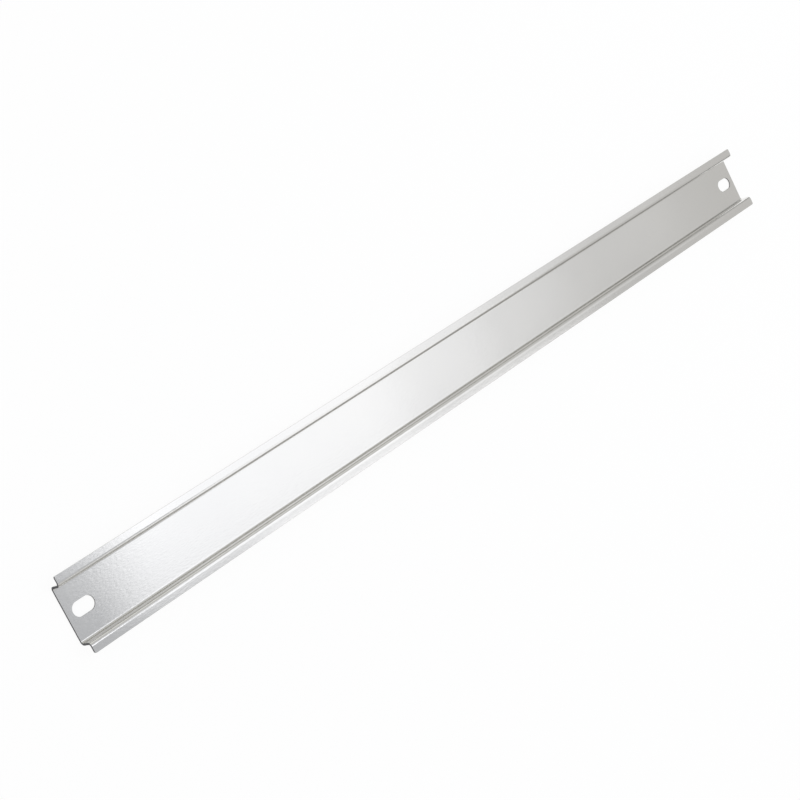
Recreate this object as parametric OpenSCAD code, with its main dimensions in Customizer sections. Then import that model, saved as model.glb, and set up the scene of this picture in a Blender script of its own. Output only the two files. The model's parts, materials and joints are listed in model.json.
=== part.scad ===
// Top-hat mounting rail, 35 mm wide and 7.5 mm high, roll-formed from 1 mm sheet,
// with one obround fixing slot at each end. The rail lies on its web, open side up.
// X runs along the rail, Y across it and Z up; the origin is the middle of the underside.

/* [Section] */
// Length of the rail, from end to end
rail_length = 495; // [120:1:2000]
// Width over both flanges
rail_width = 35; // [33:0.5:60]
// Height from the underside of the web to the top of the flanges
rail_height = 7.5; // [5:0.5:25]
// Thickness of the sheet
sheet_t = 1; // [0.5:0.05:1.5]
// Clear width of the channel between its two side walls
channel_width = 25; // [12:0.5:28]
// Radius on the inside of each of the four bends
bend_r = 0.8; // [0.2:0.05:1.2]

/* [Fixing slots] */
// Width of each slot, across the rail
slot_width = 6.5; // [3:0.1:10]
// Length of each slot along the rail, over its round ends
slot_length = 11; // [10.5:0.5:16]
// Distance from the end of the rail to the middle of the nearest slot
slot_inset = 8.5; // [8.5:0.5:50]

/* [Sheared ends] */
// Radius of the four flange corners, seen from above
corner_r = 0.8; // [0.2:0.1:2]
// Radius that the slitter leaves along the upper edge of each flange
lip_r = 0.25; // [0.05:0.05:0.4]

/* [Hidden] */
$fn = 96;

// Cuts run this far past the faces they cut.
overcut = 1;
half_width = rail_width / 2;
// Outer radius of a bend, and the flat height of a wall between its two bends
bend_outer_r = bend_r + sheet_t;
wall_inside = channel_width / 2;
wall_outside = wall_inside + sheet_t;
// Middle of the lower bend (web to wall) and of the upper bend (wall to flange)
lower_bend_y = wall_inside - bend_r;
upper_bend_y = wall_outside + bend_r;
upper_bend_z = rail_height - bend_outer_r;

// A quarter of a ring of sheet round a bend's centre, in the quadrant that sy and sz point to.
module bend_arc(y, z, sy, sz) {
    translate([y, z]) intersection() {
        difference() {
            circle(r = bend_outer_r);
            circle(r = bend_r);
        }
        translate([sy > 0 ? 0 : -bend_outer_r, sz > 0 ? 0 : -bend_outer_r])
            square(bend_outer_r);
    }
}

// The flange's free edge: its upper corner is rounded by the slitter.
module lip_waste() {
    translate([half_width - lip_r, rail_height - lip_r]) difference() {
        square(lip_r + overcut);
        circle(r = lip_r);
    }
}

// One half of the section, from the middle of the web out to the flange's free edge.
module half_section() {
    difference() {
        union() {
            square([lower_bend_y, sheet_t]);
            bend_arc(lower_bend_y, bend_outer_r, 1, -1);
            translate([wall_inside, bend_outer_r])
                square([sheet_t, upper_bend_z - bend_outer_r]);
            bend_arc(upper_bend_y, upper_bend_z, -1, 1);
            translate([upper_bend_y, rail_height - sheet_t])
                square([half_width - upper_bend_y, sheet_t]);
        }
        lip_waste();
    }
}

// The whole top-hat section, in the plane across the rail.
module hat_section() {
    half_section();
    mirror([1, 0]) half_section();
}

// An upright cutter for one slot, centred on its own origin.
module slot_cutter() {
    straight = slot_length - slot_width;
    translate([0, 0, -overcut]) linear_extrude(height = sheet_t + 2 * overcut) {
        square([straight, slot_width], center = true);
        for (end = [-1, 1])
            translate([end * straight / 2, 0]) circle(d = slot_width);
    }
}

// What rounding one flange corner takes away, for the corner on the +X, +Y side.
module corner_waste() {
    translate([rail_length / 2 - corner_r, half_width - corner_r, 0])
        linear_extrude(height = rail_height + overcut) difference() {
            square(corner_r + overcut);
            circle(r = corner_r);
        }
}

// The rail itself: one length of section, slotted and with its corners eased.
module rail() {
    color([0.78, 0.78, 0.79]) difference() {
        rotate([90, 0, 90]) translate([0, 0, -rail_length / 2])
            linear_extrude(height = rail_length) hat_section();
        for (end = [-1, 1])
            translate([end * (rail_length / 2 - slot_inset), 0, 0]) slot_cutter();
        for (mx = [0, 1], my = [0, 1])
            mirror([mx, 0, 0]) mirror([0, my, 0]) corner_waste();
    }
}

rail();
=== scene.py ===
"""A top-hat mounting rail of zinc-plated sheet steel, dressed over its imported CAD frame.

Run as a script. It is laid out as an add-on: sizes and colours are properties, each piece is
made by an operator, and a panel in the 3D view's sidebar lists them.
"""

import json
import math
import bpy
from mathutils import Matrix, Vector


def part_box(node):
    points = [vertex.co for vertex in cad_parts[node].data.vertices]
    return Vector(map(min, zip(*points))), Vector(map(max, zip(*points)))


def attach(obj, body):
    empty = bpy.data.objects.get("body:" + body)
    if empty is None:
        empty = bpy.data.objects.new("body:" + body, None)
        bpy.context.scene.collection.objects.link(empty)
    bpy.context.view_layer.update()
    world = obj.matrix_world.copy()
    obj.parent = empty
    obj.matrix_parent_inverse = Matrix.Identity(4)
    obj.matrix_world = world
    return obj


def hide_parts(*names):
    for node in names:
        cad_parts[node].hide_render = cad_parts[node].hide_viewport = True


bl_info = {
    "name": "Top-hat mounting rail",
    "version": (1, 0, 0),
    "blender": (4, 5, 0),
    "location": "View3D > Sidebar > Rail",
    "description": "Models a slotted top-hat rail, its zinc finish and a plain studio",
    "category": "Object",
}

import bmesh
import bpy
from bpy.props import (
    FloatProperty,
    FloatVectorProperty,
    IntProperty,
    PointerProperty,
    StringProperty,
)
from mathutils import Matrix, Vector

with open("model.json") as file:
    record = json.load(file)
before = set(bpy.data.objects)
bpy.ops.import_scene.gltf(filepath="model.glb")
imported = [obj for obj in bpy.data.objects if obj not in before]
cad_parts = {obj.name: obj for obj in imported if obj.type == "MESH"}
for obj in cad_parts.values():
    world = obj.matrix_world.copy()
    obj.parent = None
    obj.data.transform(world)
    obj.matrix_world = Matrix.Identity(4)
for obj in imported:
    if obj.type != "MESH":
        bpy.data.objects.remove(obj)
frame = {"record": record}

MM = 0.001
RAIL_NODE = "rail"
RAIL_LOW, RAIL_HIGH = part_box(RAIL_NODE)
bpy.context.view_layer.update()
MOUNTS = {mount["name"]: mount for mount in frame["record"]["mounts"]}
SLOTS = MOUNTS["end_slots"]["dims"]

# Material slots of the rail's cut faces; slot 0 holds the plating.
SHEARED = 1
PUNCHED = 2


# --------------------------------------------------------------------------------------
# Properties
# --------------------------------------------------------------------------------------


class RailSizes(bpy.types.PropertyGroup):
    """Sizes of the rail. The overall ones and the slots come from the frame."""

    length: FloatProperty(
        name="Length",
        description="Length of the rail, end to end",
        default=RAIL_HIGH.x - RAIL_LOW.x,
        unit="LENGTH",
    )
    width: FloatProperty(
        name="Width",
        description="Width over both flanges",
        default=RAIL_HIGH.y - RAIL_LOW.y,
        unit="LENGTH",
    )
    height: FloatProperty(
        name="Height",
        description="Height from the underside of the web to the flange tops",
        default=RAIL_HIGH.z - RAIL_LOW.z,
        unit="LENGTH",
    )
    sheet: FloatProperty(
        name="Sheet",
        description="Thickness of the sheet",
        default=1.0 * MM,
        unit="LENGTH",
    )
    channel: FloatProperty(
        name="Channel",
        description="Clear width between the two side walls",
        default=25.0 * MM,
        unit="LENGTH",
    )
    bend: FloatProperty(
        name="Bend",
        description="Radius on the inside of each bend",
        default=0.8 * MM,
        unit="LENGTH",
    )
    easing: FloatProperty(
        name="Easing",
        description="How much earlier than a plain arc each bend starts",
        default=0.45 * MM,
        unit="LENGTH",
    )
    slot_width: FloatProperty(
        name="Slot width",
        description="Width of each slot, across the rail",
        default=2 * SLOTS["hole_r_mm"] * MM,
        unit="LENGTH",
    )
    slot_length: FloatProperty(
        name="Slot length",
        description="Length of each slot over its round ends",
        default=SLOTS["slot_length_mm"] * MM,
        unit="LENGTH",
    )
    slot_spacing: FloatProperty(
        name="Slot spacing",
        description="Distance between the middles of the two slots",
        default=SLOTS["spacing_x_mm"] * MM,
        unit="LENGTH",
    )
    corner: FloatProperty(
        name="Corner",
        description="Radius of the four flange corners, seen from above",
        default=0.8 * MM,
        unit="LENGTH",
    )
    droop: FloatProperty(
        name="Flange droop",
        description="How far the free edge of each flange sags, as the folded walls spring back",
        default=0.06 * MM,
        unit="LENGTH",
    )
    roll_over: FloatProperty(
        name="Roll-over",
        description="How far slitting rounds over the two long edges",
        default=0.15 * MM,
        unit="LENGTH",
    )
    edge_break: FloatProperty(
        name="Edge break",
        description="How far shearing rounds over the ends and the slots' rims",
        default=0.04 * MM,
        unit="LENGTH",
    )
    bend_steps: IntProperty(
        name="Bend steps",
        description="Faces round each quarter bend",
        default=14,
        min=3,
        max=32,
    )
    bays: IntProperty(
        name="Bays",
        description="Divisions along the rail",
        default=45,
        min=3,
        max=200,
    )


class RailFinish(bpy.types.PropertyGroup):
    """Colours and surface of the zinc plating and of the cut edges; the cut edges' dark colours
    are partly painted shade.
    """

    zinc: StringProperty(
        name="Zinc",
        description="Colour of the plated surface, sRGB hex",
        default="#EBEAE7",
    )
    zinc_shade: StringProperty(
        name="Zinc shade",
        description="Colour of the plating where it lies thinner, sRGB hex",
        default="#E4E3E1",
    )
    # Partly the torn steel's own colour and partly painted shade: it is darker than bare steel.
    cut_steel_and_shade: StringProperty(
        name="Cut edge",
        description="Colour of the torn steel at the ends and in the slots, sRGB hex",
        default="#67676A",
    )
    # Painted shade: the torn grain's hollows are coloured darker with this.
    painted_hollow_shade: StringProperty(
        name="Cut shade",
        description="Colour in the hollows of the sheared steel, sRGB hex",
        default="#3E3E40",
    )
    roughness: FloatProperty(
        name="Roughness",
        description="Middle roughness of the plating",
        default=0.12,
        min=0.0,
        max=1.0,
        subtype="FACTOR",
    )
    grain: FloatProperty(
        name="Grain",
        description="Width of one grain of the plating",
        default=0.6 * MM,
        unit="LENGTH",
    )
    rolling: FloatProperty(
        name="Rolling marks",
        description="Distance between the fine marks that the rolls leave along the strip",
        default=0.35 * MM,
        unit="LENGTH",
    )


class RailStudio(bpy.types.PropertyGroup):
    """Camera, lamps and floor."""

    azimuth: FloatProperty(
        name="Azimuth",
        description="Camera's bearing round the rail; 0 looks along +Y",
        default=math.radians(-103.034),
        subtype="ANGLE",
    )
    elevation: FloatProperty(
        name="Elevation",
        description="Camera's height above the level floor, as an angle",
        default=math.radians(50.308),
        subtype="ANGLE",
    )
    roll: FloatProperty(
        name="Roll",
        description="Camera's turn about its own line of sight",
        default=math.radians(-73.363),
        subtype="ANGLE",
    )
    distance: FloatProperty(
        name="Distance",
        description="From the camera to the point it looks at",
        default=804.32 * MM,
        unit="LENGTH",
    )
    aim: FloatVectorProperty(
        name="Aim",
        description="The point that the camera looks at",
        default=(-48.12 * MM, -0.36 * MM, 3.75 * MM),
        subtype="XYZ",
        unit="LENGTH",
    )
    lens: FloatProperty(
        name="Lens",
        description="Focal length on a 36 mm sensor, in millimetres",
        default=77.28,
    )
    floor_share: FloatProperty(
        name="Floor share",
        description="How much of the floor is plain white where it is seen or mirrored",
        default=0.86,
        min=0.0,
        max=1.0,
        subtype="FACTOR",
    )
    floor_white: FloatProperty(
        name="Floor white",
        description="Brightness of that plain white",
        default=1.045,
    )
    zenith_colour: StringProperty(
        name="Zenith",
        description="Light from straight overhead, sRGB hex",
        default="#C3C5C9",
    )
    ceiling_colour: StringProperty(
        name="Ceiling",
        description="Light from halfway up, sRGB hex",
        default="#CECDCB",
    )
    horizon_colour: StringProperty(
        name="Horizon",
        description="Light from low down beyond the rail's far end, sRGB hex",
        default="#8E8E8D",
    )
    wall_colour: StringProperty(
        name="Wall",
        description="Light from low down beside and behind the camera, sRGB hex",
        default="#F2F4F1",
    )
    lamp_colour: StringProperty(
        name="Lamp colour",
        description="Colour of the lamps' light, sRGB hex",
        default="#FAFBFF",
    )
    floor_colour: StringProperty(
        name="Floor",
        description="Colour of the floor, sRGB hex",
        default="#F7F7F7",
    )


# --------------------------------------------------------------------------------------
# Helpers
# --------------------------------------------------------------------------------------


def linear(hex_colour):
    """An sRGB hex colour as the linear RGBA that Blender's sockets take."""
    channels = [int(hex_colour[i : i + 2], 16) / 255 for i in (1, 3, 5)]
    return tuple(
        c / 12.92 if c <= 0.04045 else ((c + 0.055) / 1.055) ** 2.4 for c in channels
    ) + (1.0,)


def add_node(tree, kind, inputs=None, **settings):
    """Adds a node with its settings, and gives each input a value or a link."""
    made = tree.nodes.new(kind)
    for name, value in settings.items():
        setattr(made, name, value)
    for name, value in (inputs or {}).items():
        if isinstance(value, bpy.types.NodeSocket):
            tree.links.new(value, made.inputs[name])
        else:
            made.inputs[name].default_value = value
    return made


def blend(tree, factor, first, second):
    """A colour between two others; returns its socket."""
    made = add_node(
        tree,
        "ShaderNodeMix",
        {"Factor": factor, "A": first, "B": second},
        data_type="RGBA",
    )
    return made.outputs["Result"]


def ramp(tree, value, start, end, low=0.0, high=1.0, interpolation="LINEAR"):
    """Turns the range from start to end into that from low to high; returns its socket."""
    made = add_node(
        tree,
        "ShaderNodeMapRange",
        {"Value": value, "From Min": start, "From Max": end, "To Min": low, "To Max": high},
        interpolation_type=interpolation,
    )
    return made.outputs["Result"]


def calculate(tree, operation, *values):
    """One step of arithmetic on the values; returns its socket."""
    made = add_node(
        tree, "ShaderNodeMath", dict(enumerate(values)), operation=operation
    )
    return made.outputs["Value"]


def drawn_out(tree, place, scale):
    """Coordinates that lengthen a pattern along each axis whose scale is under 1."""
    made = add_node(tree, "ShaderNodeMapping", {"Vector": place, "Scale": scale})
    return made.outputs["Vector"]


def noise(tree, place, size, detail, roughness):
    """Noise with features of about that size; returns its socket."""
    made = add_node(
        tree,
        "ShaderNodeTexNoise",
        {"Vector": place, "Scale": 1 / size, "Detail": detail, "Roughness": roughness},
    )
    return made.outputs["Fac"]


def bumps(tree, height, strength, distance, under=None):
    """Bumps of that height, over others if there are any; returns their normal."""
    inputs = {"Height": height, "Strength": strength, "Distance": distance}
    if under is not None:
        inputs["Normal"] = under
    return add_node(tree, "ShaderNodeBump", inputs).outputs["Normal"]


def metal_surface(tree, colour, roughness, normal):
    """Ends a material's nodes with a bare metal of that colour."""
    shader = add_node(
        tree,
        "ShaderNodeBsdfPrincipled",
        {
            "Base Color": colour,
            "Metallic": 1.0,
            "Roughness": roughness,
            "Normal": normal,
        },
    )
    add_node(
        tree, "ShaderNodeOutputMaterial", {"Surface": shader.outputs["BSDF"]}
    )


def empty_material(name):
    """A material of that name with no nodes in it yet."""
    material = bpy.data.materials.new(name)
    material.use_nodes = True
    material.node_tree.nodes.clear()
    return material


def start_modelling():
    """Leaves edit mode and deselects everything."""
    if bpy.context.mode != "OBJECT":
        bpy.ops.object.mode_set(mode="OBJECT")
    bpy.ops.object.select_all(action="DESELECT")


def edit_piece(piece):
    """Selects just this piece and opens it in edit mode."""
    start_modelling()
    piece.select_set(True)
    bpy.context.view_layer.objects.active = piece
    bpy.ops.object.mode_set(mode="EDIT")


def select_edges(test):
    """In edit mode, selects just the edges whose two ends pass the test."""
    mesh = bpy.context.object.data
    bpy.ops.mesh.select_mode(type="EDGE")
    bpy.ops.mesh.select_all(action="DESELECT")
    edit = bmesh.from_edit_mesh(mesh)
    for edge in edit.edges:
        if test(edge.verts[0].co, edge.verts[1].co):
            edge.select_set(True)
    bmesh.update_edit_mesh(mesh)


def select_vertices(test):
    """In edit mode, selects just the vertices that pass the test."""
    mesh = bpy.context.object.data
    bpy.ops.mesh.select_mode(type="VERT")
    bpy.ops.mesh.select_all(action="DESELECT")
    edit = bmesh.from_edit_mesh(mesh)
    for vertex in edit.verts:
        vertex.select_set(test(vertex.co))
    bmesh.update_edit_mesh(mesh)


def apply_modifier(piece, kind, **settings):
    """Adds one modifier to the piece with its settings, and applies it."""
    modifier = piece.modifiers.new(kind.title(), kind)
    for name, value in settings.items():
        setattr(modifier, name, value)
    bpy.context.view_layer.objects.active = piece
    bpy.ops.object.modifier_apply(modifier=modifier.name)


# --------------------------------------------------------------------------------------
# Materials
# --------------------------------------------------------------------------------------


# Rolling drew the plating's grain out, so it is three times as long as it is wide.
GRAIN_SCALE = (0.33, 1.0, 1.0)
# The marks of the rolls run along the strip, forty times as long as they are wide.
MARKS_SCALE = (0.025, 1.0, 1.0)
# Torn metal is drawn out along the punch's stroke.
TORN_SCALE = (1.0, 1.0, 0.3)
TORN_SIZE = 0.3 * MM
PATCH_SIZE = 30 * MM
ROUGHNESS_SPREAD = 0.02
# Heights in a slot's wall between which the bright burnished part gives way to the dark top,
# which is torn steel and partly painted shade.
BURNISHED_TOP = 0.40 * MM
TORN_AND_SHADED_BOTTOM = 0.55 * MM


def zinc_plate(finish):
    """Bright zinc plating on cold-rolled strip.

    Zinc is a pale, faintly warm metal, and plating leaves it satin: it mirrors the lamps as
    soft patches. A fine grain makes it glitter slightly, and the rolls leave faint lines.
    """
    material = empty_material("bright_zinc_plating")
    tree = material.node_tree
    place = add_node(tree, "ShaderNodeTexCoord").outputs["Object"]
    grain_place = drawn_out(tree, place, GRAIN_SCALE)
    grain = noise(tree, grain_place, finish.grain, detail=1.0, roughness=0.5)
    marks_place = drawn_out(tree, place, MARKS_SCALE)
    marks = noise(tree, marks_place, finish.rolling, detail=2.0, roughness=0.5)
    # Broad patches, where the plating took a little thicker or thinner.
    patches = noise(tree, place, PATCH_SIZE, detail=4.0, roughness=0.55)
    tint = blend(tree, patches, linear(finish.zinc_shade), linear(finish.zinc))
    rough = ramp(
        tree,
        calculate(tree, "ADD", grain, patches),
        start=0.6,
        end=1.4,
        low=finish.roughness - ROUGHNESS_SPREAD,
        high=finish.roughness + ROUGHNESS_SPREAD,
    )
    grain_bumps = bumps(tree, grain, strength=0.16, distance=0.1 * MM)
    normal = bumps(tree, marks, strength=0.03, distance=0.05 * MM, under=grain_bumps)
    metal_surface(tree, tint, rough, normal)
    return material


def torn_grain(tree, place):
    """The noise of a torn metal face."""
    torn_place = drawn_out(tree, place, TORN_SCALE)
    return noise(tree, torn_place, TORN_SIZE, detail=3.0, roughness=0.6)


def sheared_steel(finish):
    """Bare steel where the strip was sheared to length.

    The blade tears most of the thickness, so the cut is dull and much darker than the plating;
    that darkness is partly painted shade.
    """
    material = empty_material("sheared_steel_and_shade")
    tree = material.node_tree
    place = add_node(tree, "ShaderNodeTexCoord").outputs["Object"]
    torn = torn_grain(tree, place)
    # Painted shade: the cut is coloured darker than bare steel, and darker still in the grain's
    # hollows.
    tint = blend(tree, torn, linear(finish.painted_hollow_shade), linear(finish.cut_steel_and_shade))
    normal = bumps(tree, torn, strength=0.4, distance=0.08 * MM)
    metal_surface(tree, tint, 0.55, normal)
    return material


def punched_wall(finish):
    """The walls of the slots, punched upwards through the web.

    The punch burnishes the part it enters first, which shines almost like the plating; above
    that the steel tears and turns dull, and its dark colour there is partly painted shade.
    """
    material = empty_material("punched_slot_wall_and_shade")
    tree = material.node_tree
    place = add_node(tree, "ShaderNodeTexCoord").outputs["Object"]
    torn = torn_grain(tree, place)
    height = add_node(tree, "ShaderNodeSeparateXYZ", {"Vector": place}).outputs["Z"]
    # The grain makes the border between the burnished part and the dark top uneven by a few
    # hundredths of a millimetre.
    uneven = calculate(tree, "MULTIPLY_ADD", torn, 0.1 * MM, height)
    torn_and_shaded_part = ramp(tree, uneven, BURNISHED_TOP, TORN_AND_SHADED_BOTTOM)
    # Painted shade: the wall's top is coloured dark, partly for torn steel and partly for shade.
    tint = blend(tree, torn_and_shaded_part, linear(finish.zinc), linear(finish.cut_steel_and_shade))
    rough = ramp(tree, torn_and_shaded_part, 0.0, 1.0, low=0.30, high=0.55)
    normal = bumps(tree, torn, strength=torn_and_shaded_part, distance=0.03 * MM)
    metal_surface(tree, tint, rough, normal)
    return material


# --------------------------------------------------------------------------------------
# The rail
# --------------------------------------------------------------------------------------


# A round bevel has a profile of 0.5; above that the curve is tighter in its middle.
BEND_PROFILE = 0.575


def near(value, target, tolerance=0.01 * MM):
    """Whether two lengths are the same, to a hundredth of a millimetre unless told otherwise."""
    return abs(value - target) < tolerance


def fold_strip(sizes):
    """The strip's middle surface: a level web, its edges folded up and then out."""
    half_web = (sizes.channel + sizes.sheet) / 2
    web_level = RAIL_LOW.z + sizes.sheet / 2
    flange_level = RAIL_LOW.z + sizes.height - sizes.sheet / 2
    bpy.ops.mesh.primitive_grid_add(
        x_subdivisions=sizes.bays,
        y_subdivisions=6,
        size=1,
        location=(0, 0, 0),
        enter_editmode=True,
    )
    bpy.ops.transform.resize(value=(sizes.length, 2 * half_web, 1))
    bpy.ops.transform.translate(value=(0, 0, web_level))
    select_edges(lambda a, b: near(abs(a.y), half_web) and near(a.y, b.y))
    bpy.ops.mesh.extrude_region_move(
        TRANSFORM_OT_translate={"value": (0, 0, flange_level - web_level)}
    )
    for side in (-1, 1):
        select_edges(
            lambda a, b: near(a.y, side * half_web)
            and near(b.y, side * half_web)
            and near(a.z, flange_level)
            and near(b.z, flange_level)
        )
        bpy.ops.mesh.extrude_region_move(
            TRANSFORM_OT_translate={
                "value": (0, side * (sizes.width / 2 - half_web), 0)
            }
        )
    select_edges(
        lambda a, b: near(abs(a.y), half_web)
        and near(a.y, b.y)
        and near(a.z, b.z)
        and (near(a.z, web_level) or near(a.z, flange_level))
    )
    # Sheet eases into a bend, so the curve starts a little early and is tightest halfway.
    bpy.ops.mesh.bevel(
        offset=sizes.bend + sizes.sheet / 2 + sizes.easing,
        segments=sizes.bend_steps,
        profile=BEND_PROFILE,
        affect="EDGES",
    )
    select_vertices(lambda v: near(abs(v.y), sizes.width / 2))
    bpy.ops.transform.translate(value=(0, 0, -sizes.droop))
    select_vertices(
        lambda v: near(abs(v.x), sizes.length / 2) and near(abs(v.y), sizes.width / 2)
    )
    bpy.ops.mesh.bevel(offset=sizes.corner, segments=8, affect="VERTICES")
    bpy.ops.object.mode_set(mode="OBJECT")
    return bpy.context.object


def slot_punch(sizes, side):
    """A punch for one slot: a cylinder whose two halves are drawn apart along the rail."""
    radius = sizes.slot_width / 2
    draw = (sizes.slot_length - sizes.slot_width) / 2
    # An even count of sides, turned by half a step, leaves a flat at each side of the slot.
    sides = 64
    bpy.ops.mesh.primitive_cylinder_add(
        vertices=sides,
        radius=radius,
        depth=6 * sizes.sheet,
        location=(0, 0, 0),
        enter_editmode=True,
    )
    bpy.ops.transform.rotate(
        value=math.pi / sides, orient_axis="Z", center_override=(0, 0, 0)
    )
    for end in (-1, 1):
        select_vertices(lambda v: v.x * end > 0)
        bpy.ops.transform.translate(value=(end * draw, 0, 0))
    bpy.ops.mesh.select_all(action="SELECT")
    bpy.ops.transform.translate(value=(side * sizes.slot_spacing / 2, 0, 0))
    bpy.ops.object.mode_set(mode="OBJECT")
    return bpy.context.object


def mark_cut_faces(piece, sizes):
    """Gives the sheared ends the second material and the slots' walls the third."""
    half_length = sizes.length / 2
    for face in piece.data.polygons:
        x, y, z = face.center
        upright = abs(face.normal.z) < 0.7
        at_end = near(abs(x), half_length, sizes.corner) and abs(face.normal.x) > 0.5
        in_slot = (
            near(z, RAIL_LOW.z + sizes.sheet / 2, sizes.sheet / 2)
            and abs(y) <= sizes.slot_width / 2
            and near(abs(x), sizes.slot_spacing / 2, sizes.slot_length / 2)
        )
        if upright and at_end:
            face.material_index = SHEARED
        elif upright and in_slot:
            face.material_index = PUNCHED


class RAIL_OT_form(bpy.types.Operator):
    """Folds, punches and finishes the rail"""

    bl_idname = "rail.form"
    bl_label = "Form rail"
    bl_options = {"REGISTER", "UNDO"}

    def execute(self, context):
        sizes = context.scene.rail_sizes
        finish = context.scene.rail_finish
        start_modelling()
        rail = fold_strip(sizes)
        rail.name = rail.data.name = "formed_rail"
        apply_modifier(
            rail,
            "SOLIDIFY",
            thickness=sizes.sheet,
            offset=0.0,
            use_even_offset=True,
            use_quality_normals=True,
        )
        edit_piece(rail)
        # Thickening moves the drooping edge outwards, by much less than the droop itself.
        select_edges(
            lambda a, b: near(abs(a.y), sizes.width / 2, sizes.droop)
            and near(a.y, b.y)
            and near(a.z, b.z)
            and not near(a.x, b.x)
        )
        bpy.ops.mesh.bevel(offset=sizes.roll_over, segments=3, affect="EDGES")
        bpy.ops.object.mode_set(mode="OBJECT")
        for side in (-1, 1):
            start_modelling()
            punch = slot_punch(sizes, side)
            apply_modifier(rail, "BOOLEAN", operation="DIFFERENCE", object=punch)
            bpy.data.objects.remove(punch)
        apply_modifier(
            rail,
            "BEVEL",
            width=sizes.edge_break,
            segments=3,
            limit_method="ANGLE",
            angle_limit=math.radians(50),
        )
        edit_piece(rail)
        bpy.ops.mesh.select_all(action="SELECT")
        bpy.ops.mesh.normals_make_consistent(inside=False)
        bpy.ops.object.mode_set(mode="OBJECT")
        bpy.ops.object.shade_smooth_by_angle(angle=math.radians(40))
        apply_modifier(rail, "WEIGHTED_NORMAL", weight=100, keep_sharp=True)
        rail.data.materials.append(zinc_plate(finish))
        rail.data.materials.append(sheared_steel(finish))
        rail.data.materials.append(punched_wall(finish))
        mark_cut_faces(rail, sizes)
        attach(rail, "root")
        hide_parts(RAIL_NODE)
        return {"FINISHED"}


# --------------------------------------------------------------------------------------
# The studio
# --------------------------------------------------------------------------------------


WHITE = (1.0, 1.0, 1.0, 1.0)
FLOOR_RADIUS = 12.0
SENSOR_WIDTH = 36.0

# The way to the rail's far end, leaning a little towards -Y. A direction's share of it sets
# how far the light from low down has turned from the wall's colour to the horizon's.
FAR_END = (1.0, -0.20, 0.0)
FAR_END_SHARES = (0.36, 0.75)
# Directions are one unit long: the heights at which the low light gives way to the ceiling's,
# and the ceiling's to the zenith's.
CEILING_HEIGHTS = (0.15, 0.5)
ZENITH_HEIGHTS = (0.60, 0.88)

# Name, height, low and high corner seen from above, and how bright a mirror shows the lamp.
# One is over the rail and the others are beyond its far end, where they end one after another,
# so that the light dies away slowly. At one height, lamps that overlap would hide each other.
LAMPS = (
    ("soft_box_near", 0.98, (0.25, -0.15), (0.37, 0.10), 0.18),
    ("soft_box", 1.00, (0.32, -0.33), (0.77, 0.24), 0.185),
    ("soft_box_mid", 1.02, (0.30, -0.28), (0.95, 0.24), 0.195),
    ("soft_box_left", 1.03, (0.44, 0.24), (0.86, 0.60), 0.45),
    ("soft_box_far", 1.04, (0.32, -0.25), (1.14, 0.60), 0.155),
    ("soft_box_end", 1.06, (0.34, -0.24), (1.46, 0.60), 0.115),
    ("left_box", 1.08, (-0.60, -0.03), (0.32, 0.30), 0.85),
    ("right_box", 1.10, (0.55, -1.30), (1.22, -0.31), 0.54),
)


def mix_shaders(tree, share, first, second):
    """Two shaders in one, the share being the second's; returns its socket."""
    made = add_node(tree, "ShaderNodeMixShader", {"Fac": share, 1: first, 2: second})
    return made.outputs["Shader"]


def studio_floor(studio):
    """A level sheet of white paper, wide enough to fill every view."""
    bpy.ops.mesh.primitive_circle_add(
        vertices=96, radius=FLOOR_RADIUS, fill_type="NGON", location=(0, 0, 0)
    )
    floor = bpy.context.object
    floor.name = floor.data.name = "floor"
    material = empty_material("white_paper_floor")
    tree = material.node_tree
    rays = add_node(tree, "ShaderNodeLightPath").outputs
    seen = calculate(tree, "MAXIMUM", rays["Is Camera Ray"], rays["Is Glossy Ray"])
    seen_or_through = calculate(tree, "MAXIMUM", seen, rays["Is Transmission Ray"])
    share = calculate(tree, "MULTIPLY", seen_or_through, studio.floor_share)
    paper = add_node(
        tree,
        "ShaderNodeBsdfDiffuse",
        {"Color": linear(studio.floor_colour)},
    )
    white = add_node(
        tree, "ShaderNodeEmission", {"Color": WHITE, "Strength": studio.floor_white}
    )
    mixed = mix_shaders(tree, share, paper.outputs["BSDF"], white.outputs["Emission"])
    add_node(tree, "ShaderNodeOutputMaterial", {"Surface": mixed})
    floor.data.materials.append(material)


def studio_room(studio):
    """Light from the room: palest low down beside and behind the camera, darkest low down
    beyond the rail's far end, and in between overhead."""
    world = bpy.data.worlds.new("room")
    world.use_nodes = True
    tree = world.node_tree
    tree.nodes.clear()
    direction = add_node(tree, "ShaderNodeTexCoord").outputs["Generated"]
    height = add_node(tree, "ShaderNodeSeparateXYZ", {"Vector": direction}).outputs["Z"]
    towards_end = add_node(
        tree,
        "ShaderNodeVectorMath",
        {0: direction, 1: FAR_END},
        operation="DOT_PRODUCT",
    )
    low_light = blend(
        tree,
        ramp(
            tree,
            towards_end.outputs["Value"],
            *FAR_END_SHARES,
            interpolation="SMOOTHSTEP",
        ),
        linear(studio.wall_colour),
        linear(studio.horizon_colour),
    )
    high_light = blend(
        tree,
        ramp(tree, height, *ZENITH_HEIGHTS),
        linear(studio.ceiling_colour),
        linear(studio.zenith_colour),
    )
    light = blend(
        tree,
        ramp(tree, height, *CEILING_HEIGHTS, interpolation="SMOOTHSTEP"),
        low_light,
        high_light,
    )
    room = add_node(tree, "ShaderNodeBackground", {"Color": light})
    # Past the floor's edge the camera sees plain white.
    white = add_node(tree, "ShaderNodeBackground", {"Color": WHITE})
    mixed = mix_shaders(
        tree,
        add_node(tree, "ShaderNodeLightPath").outputs["Is Camera Ray"],
        room.outputs["Background"],
        white.outputs["Background"],
    )
    add_node(tree, "ShaderNodeOutputWorld", {"Surface": mixed})
    bpy.context.scene.world = world


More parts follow.
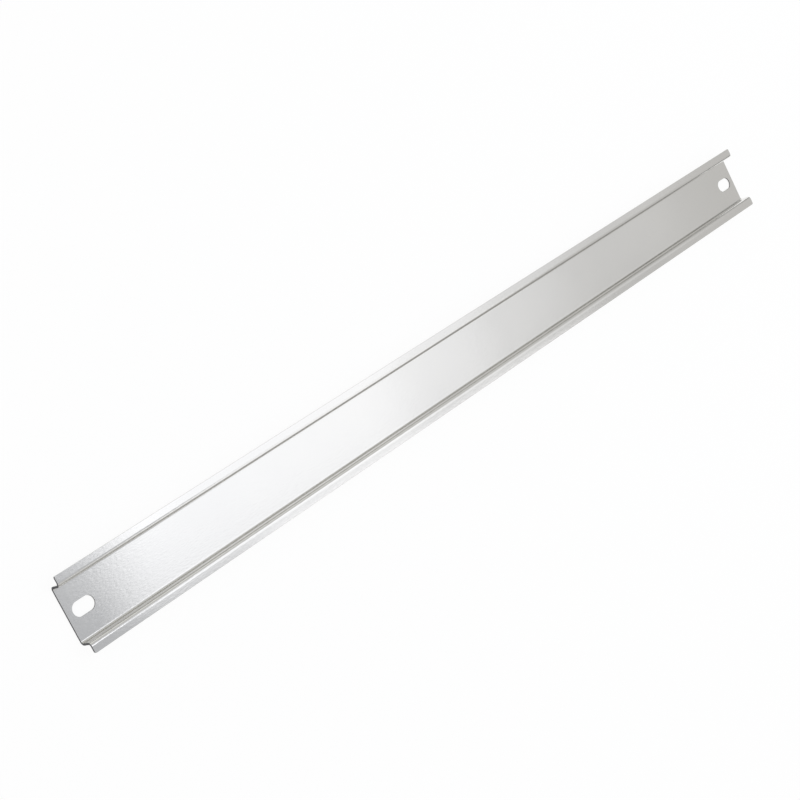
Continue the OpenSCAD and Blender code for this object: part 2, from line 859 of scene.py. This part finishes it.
def studio_lamps(studio):
    """The flat lamps of the table, facing straight down."""
    for name, height, low, high, radiance in LAMPS:
        size_x = high[0] - low[0]
        size_y = high[1] - low[1]
        lamp = bpy.data.lights.new(name, "AREA")
        lamp.shape = "RECTANGLE"
        lamp.size = size_x
        lamp.size_y = size_y
        # A flat lamp of power P and area A has a radiance of P / (pi * A).
        lamp.energy = radiance * math.pi * size_x * size_y
        lamp.color = linear(studio.lamp_colour)[:3]
        holder = bpy.data.objects.new(name, lamp)
        holder.location = (Vector((*low, height)) + Vector((*high, height))) / 2
        bpy.context.scene.collection.objects.link(holder)


def studio_camera(studio):
    """The camera, placed by its bearing round the aim and rolled about its line of sight."""
    camera = bpy.data.objects.new("camera", bpy.data.cameras.new("camera"))
    bpy.context.scene.collection.objects.link(camera)
    camera.data.sensor_width = SENSOR_WIDTH
    camera.data.lens = studio.lens
    camera.data.clip_start = 0.01
    camera.data.clip_end = 50.0
    a, e = studio.azimuth, studio.elevation
    back = Vector(
        (math.sin(a) * math.cos(e), -math.cos(a) * math.cos(e), math.sin(e))
    )
    level = (-back).to_track_quat("-Z", "Y").to_matrix().to_4x4()
    camera.matrix_world = (
        Matrix.Translation(Vector(studio.aim) + back * studio.distance)
        @ level
        @ Matrix.Rotation(-studio.roll, 4, "Z")
    )
    bpy.context.scene.camera = camera


class RAIL_OT_stage(bpy.types.Operator):
    """Adds the camera, the floor, the room's light and the lamps"""

    bl_idname = "rail.stage"
    bl_label = "Set stage"
    bl_options = {"REGISTER", "UNDO"}

    def execute(self, context):
        studio = context.scene.rail_studio
        start_modelling()
        context.scene.view_settings.view_transform = "Standard"
        studio_camera(studio)
        studio_floor(studio)
        studio_room(studio)
        studio_lamps(studio)
        return {"FINISHED"}


class RAIL_PT_panel(bpy.types.Panel):
    """Lists the rail's sizes, finish and operators"""

    bl_idname = "RAIL_PT_panel"
    bl_label = "Top-hat rail"
    bl_space_type = "VIEW_3D"
    bl_region_type = "UI"
    bl_category = "Rail"

    def draw(self, context):
        layout = self.layout
        for group in (
            context.scene.rail_sizes,
            context.scene.rail_finish,
            context.scene.rail_studio,
        ):
            box = layout.box()
            for name in group.__annotations__:
                box.prop(group, name)
        layout.operator(RAIL_OT_form.bl_idname)
        layout.operator(RAIL_OT_stage.bl_idname)


CLASSES = (
    RailSizes,
    RailFinish,
    RailStudio,
    RAIL_OT_form,
    RAIL_OT_stage,
    RAIL_PT_panel,
)


def register():
    """Registers the classes and hangs the property groups on the scene."""
    for cls in CLASSES:
        bpy.utils.register_class(cls)
    bpy.types.Scene.rail_sizes = PointerProperty(type=RailSizes)
    bpy.types.Scene.rail_finish = PointerProperty(type=RailFinish)
    bpy.types.Scene.rail_studio = PointerProperty(type=RailStudio)


def unregister():
    """Takes the property groups off the scene and unregisters the classes."""
    del bpy.types.Scene.rail_studio
    del bpy.types.Scene.rail_finish
    del bpy.types.Scene.rail_sizes
    for cls in reversed(CLASSES):
        bpy.utils.unregister_class(cls)


def main():
    register()
    bpy.ops.rail.form()
    bpy.ops.rail.stage()


if __name__ == "__main__":
    main()
